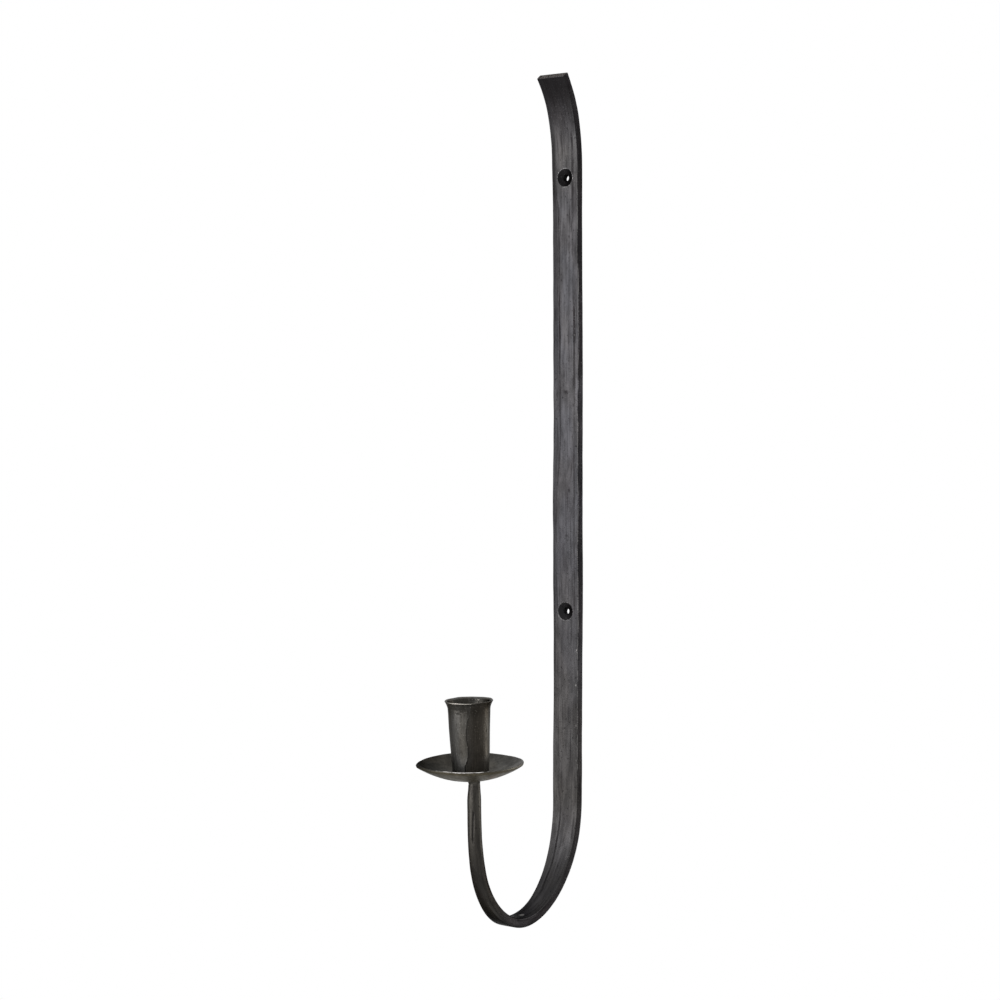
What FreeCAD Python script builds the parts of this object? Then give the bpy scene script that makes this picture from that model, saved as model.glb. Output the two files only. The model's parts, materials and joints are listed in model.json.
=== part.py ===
import FreeCAD, Part
import math
import os

from FreeCAD import Placement, Rotation, Vector

# Forged wall candle holder, in millimetres. The wall is the plane Y = 0, the front faces -Y and Z is up.
# The origin lies on the wall, midway between the two screw holes.

# Flat strap against the wall, with hammered bevels along its front edges
strap_width = 20.0
strap_thickness = 5.0
front_bevel_width = 4.5
front_bevel_drop = 0.8
back_chamfer = 0.4

# Countersunk screw holes
hole_spacing = 283.0
hole_diameter = 4.5
countersink_diameter = 11.4
countersink_angle = 118.0

# Forward curl at the strap's top end
curl_start_above_hole = 11.0
curl_back_radius = 92.0
curl_angle = 35.5

# J bend, two quarter ellipses that meet at its lowest point and carry the bar from the wall to the stem
bend_start_below_hole = 126.3
bend_depth = 68.0
bend_strap_span = 55.3
bend_stem_span = 48.1
bend_stem_rise = 65.2
bottom_width = 15.2
bottom_thickness = 5.8
bottom_roundness = 0.2
stations_per_quarter = 12

# Round stem, drawn in to a neck with a shoulder that the pan sits on
stem_length = 33.2
stem_diameter = 8.4
neck_diameter = 7.1
neck_taper_length = 11.0
shoulder_diameter = 9.4
shoulder_height = 2.2

# Dished drip pan, punched a little off its middle
pan_diameter = 65.6
pan_depth = 10.2
pan_sheet = 1.4
pan_hole_offset_x = 2.5
pan_hole_offset_y = 1.6

# Rolled candle cup with a flared lip and a lapped seam
cup_height = 48.4
cup_sheet = 1.2
cup_foot_diameter = 22.3
cup_neck_diameter = 26.0
lip_diameter = 29.6
lip_height = 4.8
lip_flare_share = 0.6
flare_stations = 5
seam_azimuth = 30.0
seam_lap_width = 7.0
seam_crown_share = 0.6
seam_foot_gap = 0.3

# Cup floor, punched a little off its middle too, and the riveted tenon that clamps pan and cup to the stem
floor_sheet = 1.2
floor_edge_gap = 0.1
floor_hole_offset_x = 1.6
floor_hole_offset_y = 1.05
tenon_diameter = 5.0
tenon_clearance = 0.1
seat_clearance = 0.05
washer_diameter = 12.0
washer_thickness = 1.4
rivet_head_diameter = 9.0
rivet_head_height = 2.0

# Heights that follow from the sizes above
upper_hole_height = hole_spacing / 2
lower_hole_height = -hole_spacing / 2
curl_start_height = upper_hole_height + curl_start_above_hole
bend_start_height = lower_hole_height - bend_start_below_hole
bend_end_height = bend_start_height - bend_depth + bend_stem_rise
seat_height = bend_end_height + stem_length
stem_reach = strap_thickness / 2 + bend_strap_span + bend_stem_span

# The pan's two faces are parts of spheres with one centre. The rivet and the cup each stand on an axis
# through that centre, so every piece seats squarely, though the holes are off the middle and the cup leans.
pan_under_radius = ((pan_diameter / 2) ** 2 + pan_depth ** 2) / (2 * pan_depth)
pan_inner_radius = pan_under_radius - pan_sheet
shoulder_top_radius = pan_under_radius + seat_clearance
foot_radius = pan_inner_radius - seat_clearance
floor_top_radius = foot_radius - floor_sheet
washer_under_radius = floor_top_radius - seat_clearance


def axis_from_pan(offset_x, offset_y):
    """Upward direction of an axis that meets the pan's underside at this offset from its middle."""
    lean_x = offset_x / pan_under_radius
    lean_y = offset_y / pan_under_radius
    return Vector(-lean_x, -lean_y, math.sqrt(1 - lean_x ** 2 - lean_y ** 2))


rivet_up = axis_from_pan(pan_hole_offset_x, pan_hole_offset_y)
cup_up = axis_from_pan(pan_hole_offset_x - floor_hole_offset_x, pan_hole_offset_y - floor_hole_offset_y)
rivet_seat = Vector(0, -stem_reach, seat_height)
sphere_centre = rivet_seat + rivet_up * pan_under_radius
cup_seat = sphere_centre - cup_up * pan_under_radius
rivet_frame = Placement(rivet_seat, Rotation(Vector(0, 0, 1), rivet_up))
cup_frame = Placement(cup_seat, Rotation(Vector(0, 0, 1), cup_up))

# Levels along the rivet's and the cup's axes, counted from the pan's underside
washer_top_level = pan_under_radius - washer_under_radius + washer_thickness
lip_level = pan_sheet + cup_height
cup_neck_level = lip_level - lip_height

tenon_hole_radius = tenon_diameter / 2 + tenon_clearance

# The bar's section has the strap's eight sides all along, so that each side runs on into the round stem
section_sides = 8
side_angle = 2 * math.pi / section_sides


def curved_edge(start, control, end):
    curve = Part.BezierCurve()
    curve.setPoles([start, control, end])
    return curve.toShape()


def straight_edge(start, end):
    return Part.LineSegment(start, end).toShape()


def arc_edge(start, middle, end):
    return Part.Arc(start, middle, end).toShape()


def sphere_level(distance, radius):
    """Level of a sphere about the pan's centre, at this distance from an axis through it."""
    return pan_under_radius - math.sqrt(radius ** 2 - distance ** 2)


def profile_point(distance, level):
    return Vector(distance, 0, level)


def sphere_point(distance, radius):
    return profile_point(distance, sphere_level(distance, radius))


def sphere_arc(start_distance, end_distance, radius):
    middle_distance = (start_distance + end_distance) / 2
    return arc_edge(
        sphere_point(start_distance, radius),
        sphere_point(middle_distance, radius),
        sphere_point(end_distance, radius),
    )


def revolve(edges):
    face = Part.Face(Part.Wire(edges))
    return face.revolve(Vector(0, 0, 0), Vector(0, 0, 1), 360)


def placed(shape, frame):
    moved = shape.copy()
    moved.Placement = frame.multiply(shape.Placement)
    return moved


def strap_corners(width, thickness):
    """Corners of the bevelled bar as (across, towards the inside of the bend), once round from the front."""
    half_width = width / 2
    half_thickness = thickness / 2
    bevel_width = front_bevel_width * width / strap_width
    right_side = [
        (half_width - bevel_width, half_thickness),
        (half_width, half_thickness - front_bevel_drop),
        (half_width, back_chamfer - half_thickness),
        (half_width - back_chamfer, -half_thickness),
    ]
    left_side = [(-across, inward) for across, inward in reversed(right_side)]
    return right_side + left_side


def circle_points(diameter, first_angle, radius_factor=1.0):
    """One point for each side of the bar's section, clockwise round a circle from the first angle."""
    radius = diameter / 2 * radius_factor
    angles = [first_angle - side_angle * side for side in range(section_sides)]
    return [(radius * math.cos(angle), radius * math.sin(angle)) for angle in angles]


def blend(first, second, share):
    return tuple(a + (b - a) * share for a, b in zip(first, second))


def eased(share):
    """Share that leaves 0 and reaches 1 smoothly, so that the forged taper has no kink at its ends."""
    return share ** 2 * (3 - 2 * share)


def bar_section(width, thickness, diameter, roundness, place):
    """Closed section that goes from the bevelled strap to a round bar as roundness goes from 0 to 1."""
    top_angle = math.pi / 2
    flat = strap_corners(width, thickness)
    flat_middles = [blend(flat[side - 1], flat[side], 0.5) for side in range(section_sides)]
    round_corners = circle_points(diameter, top_angle - side_angle / 2)
    round_controls = circle_points(diameter, top_angle, 1 / math.cos(side_angle / 2))
    corners = [place(*blend(a, b, roundness)) for a, b in zip(flat, round_corners)]
    controls = [place(*blend(a, b, roundness)) for a, b in zip(flat_middles, round_controls)]
    edges = [curved_edge(corners[side - 1], controls[side], corners[side]) for side in range(section_sides)]
    return Part.Wire(edges)


def strap_face(height):
    corners = [Vector(across, -strap_thickness / 2 - inward, height)
               for across, inward in strap_corners(strap_width, strap_thickness)]
    return Part.Face(Part.makePolygon(corners + corners[:1]))


def make_strap():
    straight = strap_face(bend_start_height).extrude(Vector(0, 0, curl_start_height - bend_start_height))
    curl_centre = Vector(0, -curl_back_radius, curl_start_height)
    curl = strap_face(curl_start_height).revolve(curl_centre, Vector(1, 0, 0), curl_angle)
    return straight.fuse(curl)


def bend_section(centre, inward, share, first, second):
    """Section of the bar on the bend, a share of the way between two key sections."""
    width, thickness, roundness = blend(first, second, share)

    def place(across, inward_offset):
        return centre + Vector(across, 0, 0) + inward * inward_offset

    return bar_section(width, thickness, thickness, roundness, place)


def quarter_bend(span, drop, start_angle, middle_y, middle_z, first, second):
    """Sections along a quarter ellipse about a middle, with angle 0 at the strap and 180 at the stem."""
    sections = []
    for step in range(stations_per_quarter + 1):
        share = step / stations_per_quarter
        turn = math.radians(start_angle + 90 * share)
        centre = Vector(0, middle_y + span * math.cos(turn), middle_z - drop * math.sin(turn))
        inward = Vector(0, -drop * math.cos(turn), span * math.sin(turn))
        inward.normalize()
        sections.append(bend_section(centre, inward, eased(share), first, second))
    return sections


def bend_sections():
    strap_key = (strap_width, strap_thickness, 0.0)
    bottom_key = (bottom_width, bottom_thickness, bottom_roundness)
    stem_key = (stem_diameter, stem_diameter, 1.0)
    low_y = -strap_thickness / 2 - bend_strap_span
    down = quarter_bend(bend_strap_span, bend_depth, 0, low_y, bend_start_height, strap_key, bottom_key)
    up = quarter_bend(bend_stem_span, bend_stem_rise, 90, low_y, bend_end_height, bottom_key, stem_key)
    return down + up[1:]


def stem_section(height, diameter):
    def place(across, inward_offset):
        return Vector(across, inward_offset - stem_reach, height)

    return bar_section(diameter, diameter, diameter, 1.0, place)


def seat_section(level, diameter):
    def place(across, inward_offset):
        return rivet_frame.multVec(Vector(across, inward_offset, level))

    return bar_section(diameter, diameter, diameter, 1.0, place)


def make_bend_and_stem():
    taper_start_height = seat_height - shoulder_height - neck_taper_length
    stem = [
        stem_section(taper_start_height, stem_diameter),
        seat_section(-shoulder_height, neck_diameter),
    ]
    arm = Part.makeLoft(bend_sections() + stem, True, False)
    flare_diameter = (2 * neck_diameter + shoulder_diameter) / 3
    shoulder = Part.makeLoft([
        seat_section(-shoulder_height, neck_diameter),
        seat_section(-shoulder_height / 2, flare_diameter),
        seat_section(sphere_level(shoulder_diameter / 2, shoulder_top_radius), shoulder_diameter),
    ], True, False)
    seat_sphere = Part.makeSphere(shoulder_top_radius, sphere_centre, Vector(1, 0, 0))
    return arm.fuse(shoulder).cut(seat_sphere)


def make_tenon():
    radius = tenon_diameter / 2
    head_radius = rivet_head_diameter / 2
    head_top_level = washer_top_level + rivet_head_height
    crown = profile_point(0, head_top_level)
    head_edge = profile_point(head_radius, washer_top_level)
    root = profile_point(0, -shoulder_height)
    edges = [
        straight_edge(root, profile_point(radius, -shoulder_height)),
        straight_edge(profile_point(radius, -shoulder_height), profile_point(radius, washer_top_level)),
        straight_edge(profile_point(radius, washer_top_level), head_edge),
        curved_edge(head_edge, profile_point(head_radius, head_top_level), crown),
        straight_edge(crown, root),
    ]
    return placed(revolve(edges), rivet_frame)


def make_screw_hole(height):
    bore = Part.makeCylinder(hole_diameter / 2, strap_thickness, Vector(0, 0, height), Vector(0, -1, 0))
    half_angle = math.radians(countersink_angle / 2)
    point_depth = countersink_diameter / 2 / math.tan(half_angle)
    front = Vector(0, -strap_thickness, height)
    countersink = Part.makeCone(countersink_diameter / 2, 0, point_depth, front, Vector(0, 1, 0))
    return bore.fuse(countersink)


def make_forged_bar():
    bar = make_strap().fuse([make_bend_and_stem(), make_tenon()])
    holes = [make_screw_hole(height) for height in (upper_hole_height, lower_hole_height)]
    return bar.cut(holes).removeSplitter()


def make_punch():
    """Tool that punches the tenon's hole through the pan and the cup's floor."""
    length = washer_top_level + pan_sheet
    return placed(Part.makeCylinder(tenon_hole_radius, length, Vector(0, 0, -pan_sheet)), rivet_frame)


def make_drip_pan():
    rim_radius = pan_diameter / 2
    inner_rim_radius = rim_radius * pan_inner_radius / pan_under_radius
    edges = [
        sphere_arc(0, rim_radius, pan_under_radius),
        straight_edge(
            sphere_point(rim_radius, pan_under_radius),
            sphere_point(inner_rim_radius, pan_inner_radius),
        ),
        sphere_arc(inner_rim_radius, 0, pan_inner_radius),
        straight_edge(sphere_point(0, pan_inner_radius), sphere_point(0, pan_under_radius)),
    ]
    dish = revolve(edges)
    dish.translate(sphere_centre - Vector(0, 0, pan_under_radius))
    return dish.cut(make_punch())


def cup_outer_radius(level):
    foot_level = sphere_level(cup_foot_diameter / 2, foot_radius)
    share = (level - foot_level) / (cup_neck_level - foot_level)
    return (cup_foot_diameter + (cup_neck_diameter - cup_foot_diameter) * share) / 2


def lip_curve(inset):
    """Flare from the cup's straight wall to its lip, moved in towards the axis by the inset."""
    control_level = cup_neck_level + lip_height * lip_flare_share
    return curved_edge(
        profile_point(cup_neck_diameter / 2 - inset, cup_neck_level),
        profile_point(cup_outer_radius(control_level) - inset, control_level),
        profile_point(lip_diameter / 2 - inset, lip_level),
    )


def make_cup_wall():
    outer_foot = cup_foot_diameter / 2
    inner_foot = outer_foot - cup_sheet
    outer_lip = lip_curve(0)
    inner_lip = lip_curve(cup_sheet)
    edges = [
        sphere_arc(inner_foot, outer_foot, foot_radius),
        straight_edge(sphere_point(outer_foot, foot_radius), outer_lip.Vertexes[0].Point),
        outer_lip,
        straight_edge(outer_lip.Vertexes[1].Point, inner_lip.Vertexes[1].Point),
        inner_lip,
        straight_edge(inner_lip.Vertexes[0].Point, sphere_point(inner_foot, foot_radius)),
    ]
    return revolve(edges)


def seam_section(radius, level):
    """Crescent of the outer lap: one sheet high at the seam, thinning into the wall under it."""
    seam_angle = math.radians(seam_azimuth - 90)
    lap_angle = seam_lap_width / (cup_neck_diameter / 2)
    sunk_radius = radius - cup_sheet / 2

    def at(distance, share):
        angle = seam_angle - lap_angle * share
        return Vector(distance * math.cos(angle), distance * math.sin(angle), level)

    lap_edge = at(radius + cup_sheet, 0)
    lap_crown = at(radius + cup_sheet * seam_crown_share, 0.5)
    edges = [
        straight_edge(at(sunk_radius, 0), lap_edge),
        arc_edge(lap_edge, lap_crown, at(sunk_radius, 1)),
        arc_edge(at(sunk_radius, 1), at(sunk_radius, 0.5), at(sunk_radius, 0)),
    ]
    return Part.Wire(edges)


def make_seam_lap():
    foot_level = sphere_level(cup_foot_diameter / 2 + cup_sheet, pan_inner_radius) + seam_foot_gap
    wall = Part.makeLoft([
        seam_section(cup_outer_radius(foot_level), foot_level),
        seam_section(cup_neck_diameter / 2, cup_neck_level),
    ], True, True)
    flare = lip_curve(0).discretize(flare_stations)
    lip = Part.makeLoft([seam_section(point.x, point.z) for point in flare], True, True)
    return wall.fuse(lip)


def make_candle_cup():
    return placed(make_cup_wall().fuse(make_seam_lap()).removeSplitter(), cup_frame)


def make_cup_floor():
    edge_inset = cup_sheet + floor_edge_gap
    bottom_edge = cup_foot_diameter / 2 - edge_inset
    top_edge = cup_outer_radius(sphere_level(bottom_edge, floor_top_radius)) - edge_inset
    edges = [
        sphere_arc(0, bottom_edge, foot_radius),
        straight_edge(sphere_point(bottom_edge, foot_radius), sphere_point(top_edge, floor_top_radius)),
        sphere_arc(top_edge, 0, floor_top_radius),
        straight_edge(sphere_point(0, floor_top_radius), sphere_point(0, foot_radius)),
    ]
    return placed(revolve(edges), cup_frame).cut(make_punch())


def make_rivet_washer():
    washer_radius = washer_diameter / 2
    outer_top = profile_point(washer_radius, washer_top_level)
    inner_top = profile_point(tenon_hole_radius, washer_top_level)
    edges = [
        sphere_arc(tenon_hole_radius, washer_radius, washer_under_radius),
        straight_edge(sphere_point(washer_radius, washer_under_radius), outer_top),
        straight_edge(outer_top, inner_top),
        straight_edge(inner_top, sphere_point(tenon_hole_radius, washer_under_radius)),
    ]
    return placed(revolve(edges), rivet_frame)


parts = {
    "forged_bar": make_forged_bar(),
    "drip_pan": make_drip_pan(),
    "candle_cup": make_candle_cup(),
    "cup_floor": make_cup_floor(),
    "rivet_washer": make_rivet_washer(),
}

os.makedirs("parts", exist_ok=True)
for name, shape in parts.items():
    shape.exportStep(f"parts/{name}.step")
    print(f"{name}: {len(shape.Solids)} solid, valid {shape.isValid()}, volume {shape.Volume:.1f} mm3")
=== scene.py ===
import json
import math

import bmesh
import bpy
import numpy as np
from mathutils import Matrix, Vector, noise


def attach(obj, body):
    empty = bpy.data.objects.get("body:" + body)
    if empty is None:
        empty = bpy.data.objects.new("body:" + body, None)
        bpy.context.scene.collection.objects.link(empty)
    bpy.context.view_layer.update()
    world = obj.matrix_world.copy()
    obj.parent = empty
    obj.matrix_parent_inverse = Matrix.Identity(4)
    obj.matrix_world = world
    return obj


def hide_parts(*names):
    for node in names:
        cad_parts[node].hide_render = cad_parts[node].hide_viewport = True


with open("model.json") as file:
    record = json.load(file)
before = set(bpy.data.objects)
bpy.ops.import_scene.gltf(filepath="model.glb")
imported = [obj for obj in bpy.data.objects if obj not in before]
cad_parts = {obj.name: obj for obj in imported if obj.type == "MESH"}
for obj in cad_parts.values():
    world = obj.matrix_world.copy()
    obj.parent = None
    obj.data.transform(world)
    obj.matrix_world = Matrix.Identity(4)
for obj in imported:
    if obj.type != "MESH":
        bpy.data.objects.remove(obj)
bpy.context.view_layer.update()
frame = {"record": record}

# Looks of a forged wall candle holder. Its lengths are in millimetres and become metres when a mesh is made.
# The wall is the plane Y = 0, the front faces -Y and Z is up, as in the frame.
MM = 0.001

# Flat strap
strap_width = 20.0
strap_thickness = 5.0
back_chamfer = 0.15

# Countersunk screw holes
screw_holes = next(mount["dims"] for mount in frame["record"]["mounts"] if mount["name"] == "wall_screws")
hole_spacing = screw_holes["spacing_y_mm"]
hole_radius = screw_holes["hole_r_mm"]
hole_heights = (hole_spacing / 2, -hole_spacing / 2)
bore_entry_shift = -0.6
bore_exit_shift = (1.0, -0.8)
countersink_radius = 5.95
countersink_angle = math.radians(118.0)

# Forward curl at the strap's top end
curl_start_height = hole_spacing / 2 + 11.0
curl_radius = 89.5
curl_angle = math.radians(35.5)

# J bend, two quarter ellipses along the bar's centre line
bend_start_height = -hole_spacing / 2 - 126.3
bend_depth = 68.0
bend_strap_span = 55.3
bend_stem_span = 48.1
bend_stem_rise = 65.2
bottom_width = 15.2
bottom_thickness = 5.8
bottom_roundness = 0.2

# Round stem with its neck, shoulder, tenon, washer and peened head
stem_length = 33.2
stem_diameter = 8.4
neck_diameter = 7.1
neck_taper_length = 11.0
shoulder_diameter = 9.4
shoulder_height = 2.2
tenon_radius = 2.5
tenon_clearance = 0.1
washer_radius = 6.0
washer_thickness = 1.4
rivet_head_radius = 4.5
rivet_head_height = 2.0
rivet_unevenness = 0.02
washer_under_chamfer = 0.15
washer_chamfer = 0.2
seat_clearance = 0.05

# Dished drip pan
pan_radius = 32.8
pan_depth = 10.2
pan_sheet = 1.4
pan_hole_offset = (2.5, 1.6)

# Rolled candle cup and its floor
cup_height = 48.4
cup_sheet = 1.2
cup_foot_radius = 11.15
cup_neck_radius = 13.0
lip_radius = 14.8
lip_height = 4.8
seam_angle = math.radians(-60.0)
seam_lap_width = 9.0
floor_sheet = 1.2
floor_edge_gap = 0.1
floor_rings = 10
floor_unevenness = 0.03
floor_wave = 3
floor_hole_offset = (1.6, 1.05)

# Heights and axes that follow from the sizes above
bend_end_height = bend_start_height - bend_depth + bend_stem_rise
seat_height = bend_end_height + stem_length
stem_reach = strap_thickness / 2 + bend_strap_span + bend_stem_span
bend_low_y = -strap_thickness / 2 - bend_strap_span
pan_under_radius = (pan_radius ** 2 + pan_depth ** 2) / (2 * pan_depth)
foot_radius = pan_under_radius - pan_sheet - seat_clearance
floor_top_radius = foot_radius - floor_sheet
washer_under_radius = floor_top_radius - seat_clearance
washer_top_level = pan_under_radius - washer_under_radius + washer_thickness
lip_level = pan_sheet + cup_height
cup_neck_level = lip_level - lip_height
tenon_hole_radius = tenon_radius + tenon_clearance
lap_share = seam_lap_width / cup_neck_radius / (2 * math.pi)


def axis_from_pan(offset_x, offset_y):
    """Upward direction of an axis that meets the pan's underside at this offset from its middle."""
    lean_x = offset_x / pan_under_radius
    lean_y = offset_y / pan_under_radius
    return Vector((-lean_x, -lean_y, math.sqrt(1 - lean_x ** 2 - lean_y ** 2)))


def axis_frame(seat, up):
    turn = Vector((0, 0, 1)).rotation_difference(up)
    return Matrix.Translation(seat) @ turn.to_matrix().to_4x4()


rivet_up = axis_from_pan(*pan_hole_offset)
cup_up = axis_from_pan(*[pan - floor for pan, floor in zip(pan_hole_offset, floor_hole_offset)])
rivet_seat = Vector((0, -stem_reach, seat_height))
sphere_centre = rivet_seat + rivet_up * pan_under_radius
rivet_frame = axis_frame(rivet_seat, rivet_up)
cup_frame = axis_frame(sphere_centre - cup_up * pan_under_radius, cup_up)


def eased(share):
    share = min(max(share, 0.0), 1.0)
    return share ** 2 * (3 - 2 * share)


def blend(first, second, share):
    return [a + (b - a) * share for a, b in zip(first, second)]


def bump(distance, reach):
    """Smooth bump, 1 at distance 0 and close to 0 past twice the reach."""
    return math.exp(-(distance / reach) ** 2)


def swell(place, strength, middle, reach):
    """Bump of this strength round a middle."""
    return strength * bump(place - middle, reach)


def at(pairs, place):
    """Value at a place, between the values of a short list of (place, value)."""
    places, values = zip(*pairs)
    return float(np.interp(place, places, values))


def wobble(seed, x, y=0.0, z=0.0):
    """Smooth noise from about -1 to 1, with x, y and z counted in wavelengths."""
    return noise.noise(Vector((x + 31.7 * seed, y + 17.3 * seed, z - 9.1 * seed)))


def waver(seed, along, strength, length):
    """Smooth unevenness along a line, of this strength and wavelength."""
    return strength * wobble(seed, along / length)


def ring_wobble(seed, angle, waves, z=0.0):
    """Smooth noise round a ring."""
    return wobble(seed, math.cos(angle) * waves, math.sin(angle) * waves, z)


def blows(seed, x, y, width=1, length=1):
    """Depth of overlapping hammer blows, shallow dishes that meet in ridges, about -0.5 to 0.5."""
    spot = Vector((x / width + 13.9 * seed, y / length - 7.7 * seed, 0.37 * seed))
    nearest, second = noise.voronoi(spot)[0][:2]
    return min(nearest ** 2, 1.0) * 0.6 + min(nearest / max(second, 1e-6), 1.0) * 0.4 - 0.5


def sphere_level(distance, radius):
    """Level over the pan's underside of a sphere round the pan's own centre, at a distance from the axis."""
    return pan_under_radius - math.sqrt(radius ** 2 - distance ** 2)


def unit(angle):
    return Vector((math.cos(angle), math.sin(angle)))


def polar(radius, angle, level):
    return Vector((radius * math.cos(angle), radius * math.sin(angle), level))


def turn_between(first, second):
    """Smallest angle between two directions given as angles."""
    return abs((first - second + math.pi) % (2 * math.pi) - math.pi)


def facing(angle, direction, reach):
    """Smooth bump round a direction, which is in degrees like its reach."""
    return bump(turn_between(angle, math.radians(direction)), math.radians(reach))


def edge_bend(angle, wobbles, bends):
    """Rise and outward growth of a sheet's edge in one direction."""
    rise, growth = (strength * ring_wobble(seed, angle, waves) for strength, seed, waves in wobbles)
    for direction, reach, bend_rise, bend_growth in bends:
        share = facing(angle, direction, reach)
        rise += bend_rise * share
        growth += bend_growth * share
    return rise, growth


class Shape:
    """Points of one piece in millimetres, where they lie in the iron's pattern, their marks, and faces."""

    def __init__(self):
        self.points = []
        self.flow = []
        self.marks = []
        self.faces = []

    def add(self, point, flow, rubbed_and_highlight=0.0, black=0.0, rust=0.0, warmth=0.0):
        self.points.append(point)
        self.flow.append(flow)
        self.marks.append((rubbed_and_highlight, black, rust, warmth))

    def grid(self, rows, columns, close_rows=False):
        """Quads over rows of points, each row closed on itself."""
        for row in range(rows if close_rows else rows - 1):
            here = row * columns
            there = (row + 1) % rows * columns
            for column in range(columns):
                after = (column + 1) % columns
                self.faces.append((here + column, here + after, there + after, there + column))

    def cap_ends(self, rows, columns):
        last = (rows - 1) * columns
        self.faces.append(list(range(columns))[::-1])
        self.faces.append(list(range(last, last + columns)))


def add_object(name, data):
    added = bpy.data.objects.new(name, data)
    bpy.context.scene.collection.objects.link(added)
    return added


def make_object(name, shape, sharp_angle):
    mesh = bpy.data.meshes.new(name)
    mesh.from_pydata((np.array(shape.points) * MM).tolist(), [], shape.faces)
    flow = mesh.attributes.new("flow", "FLOAT_VECTOR", "POINT")
    flow.data.foreach_set("vector", np.array(shape.flow, np.float32).ravel())
    marks = mesh.attributes.new("marks", "FLOAT_COLOR", "POINT")
    marks.data.foreach_set("color", np.array(shape.marks, np.float32).ravel())
    join_points(mesh)
    shade(mesh, sharp_angle)
    return add_object(name, mesh)


def join_points(mesh):
    """Joins points that lie on each other and turns all faces outwards."""
    work = bmesh.new()
    work.from_mesh(mesh)
    bmesh.ops.remove_doubles(work, verts=work.verts, dist=0.002 * MM)
    bmesh.ops.recalc_face_normals(work, faces=work.faces)
    work.to_mesh(mesh)
    work.free()


def shade(mesh, sharp_angle):
    mesh.shade_smooth()
    mesh.set_sharp_from_angle(angle=math.radians(sharp_angle))


def even_turns(columns):
    return [column / columns for column in range(columns)]


def ring_object(name, profile, turns, point, sharp_angle):
    """Closed ring over a closed profile; point says what to add for a profile step at a share of a turn."""
    shape = Shape()
    for step in profile:
        for turn in turns:
            shape.add(*point(*step, turn))
    shape.grid(len(profile), len(turns), close_rows=True)
    return make_object(name, shape, sharp_angle)


def finish_piece(piece, node, material):
    piece.data.materials.clear()
    piece.data.materials.append(material)
    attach(piece, "root")
    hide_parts(node)


# Forged bar. Places along it are counted in millimetres from the curl's end in the frame, and the
# hammered end runs a little past it.
curl_length = curl_radius * curl_angle
curl_overrun = 1.1
strap_length = curl_start_height - bend_start_height
bar_step = 1.0
end_steps = (0.0, 0.05, 0.15, 0.35, 0.7, 1.2, 1.8)
bend_steps = 96
side_points = (25, 7, 6, 6, 11, 6, 6, 9)
corner_points = 3
bar_sharp_angle = 40

# What the hammer left along the bar, as (place, millimetres)
left_edge = ((0, 0.8), (6, 0.5), (19, 0.4), (35, 0.5), (50, 0.75), (66, 0.55), (84, 0.05), (117, 0.1),
             (143, -0.2), (169, 0.0), (195, -0.22), (222, -0.46), (250, 0.0), (274, 0.18), (286, 0.22),
             (300, -0.05), (322, 0.12), (333, 0.05), (345, -0.22), (400, -0.3), (480, 0.2))
right_edge = ((0, 1.0), (6, 0.7), (19, 0.42), (35, 0.15), (50, 0.25), (70, 0.5), (90, 0.3), (120, 0.35),
              (145, 0.5), (174, 0.72), (206, 0.75), (250, 0.6), (300, 0.5), (331, 0.85), (360, 0.6),
              (400, 0.25), (430, -0.1), (457, -0.1), (480, -0.35), (505, -0.05), (520, 0.0))
left_bevel_width = ((0, 3.0), (80, 3.5), (86, 5.5), (240, 5.5), (256, 4.4), (270, 3.2), (300, 2.9),
                    (345, 3.4), (400, 3.8), (460, 4.4), (482, 6.0))
right_bevel_width = ((82, 4.4), (120, 3.6))
left_bevel_drop = ((0, 0.2), (30, 0.3), (60, 0.9), (190, 0.8), (208, 0.45), (240, 0.6), (262, 0.4),
                   (400, 0.5), (440, 0.0), (470, 0.1), (560, 0.4))
right_bevel_drop = ((0, 0.15), (28, 0.2), (62, 0.7), (178, 0.7), (200, 0.3), (480, 0.35), (560, 0.5))
thickness_gain = ((0, -0.8), (10, -0.5), (30, 0.0), (480, 0.0), (545, 0.5), (620, 0.5), (680, 0.25),
                  (760, 0.2))
right_chip = ((80, 0.8), (106, 1.0), (113, 1.5), (120, 1.2), (128, 0.4), (150, 0.35), (178, 0.45),
              (191, 1.1), (199, 0.5), (217, 1.05), (226, 0.65), (243, 0.95), (252, 0.7), (263, 1.0),
              (276, 0.3), (300, 0.75), (312, 1.25), (325, 1.05), (362, 0.55), (378, 1.0), (389, 0.65))
width_gain = ((588, 0.0), (604, 1.0), (640, 1.0), (656, 0.3), (670, 0.0))
end_rounding = 0.35
end_corner_rounding = 0.7

# Slack of the curl and bow of the stem, as (millimetres, place, reach)
curl_slack = (0.6, 20.0, 16.0)
stem_bow = (0.6, 651.0, 16.0)

# Hammer blows: how deep they are, and how many of them lie side by side round the stem
flat_blow_depth = 0.09
side_blow_depth = 0.16
stem_blow_depth = 0.16
stem_blows_per_radian = 1.1

# Rounding of the section's eight corners and the share of a side that it may take, how rubbed the corners
# are, and how black the sides between them are, with their share of that along the bar
corner_limit = 0.3
corner_reach = (1.1, 0.25, 0.25, 0.12, 0.12, 0.25, 0.3, 0.8)
corner_rub = (0.1, 0.6, 0.3, 0.2, 0.2, 0.3, 0.2, 0.1)
side_black = (0.0, 0.0, 0.84, 0.6, 0.2, 0.6, 0.75, 0.0)
side_black_share = ((0, 1.0), (160, 0.97), (200, 0.84), (228, 0.84), (262, 0.95), (330, 0.95), (365, 0.74),
                    (440, 0.78), (575, 0.85), (600, 0.95))
side_black_hold = 1.25

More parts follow.
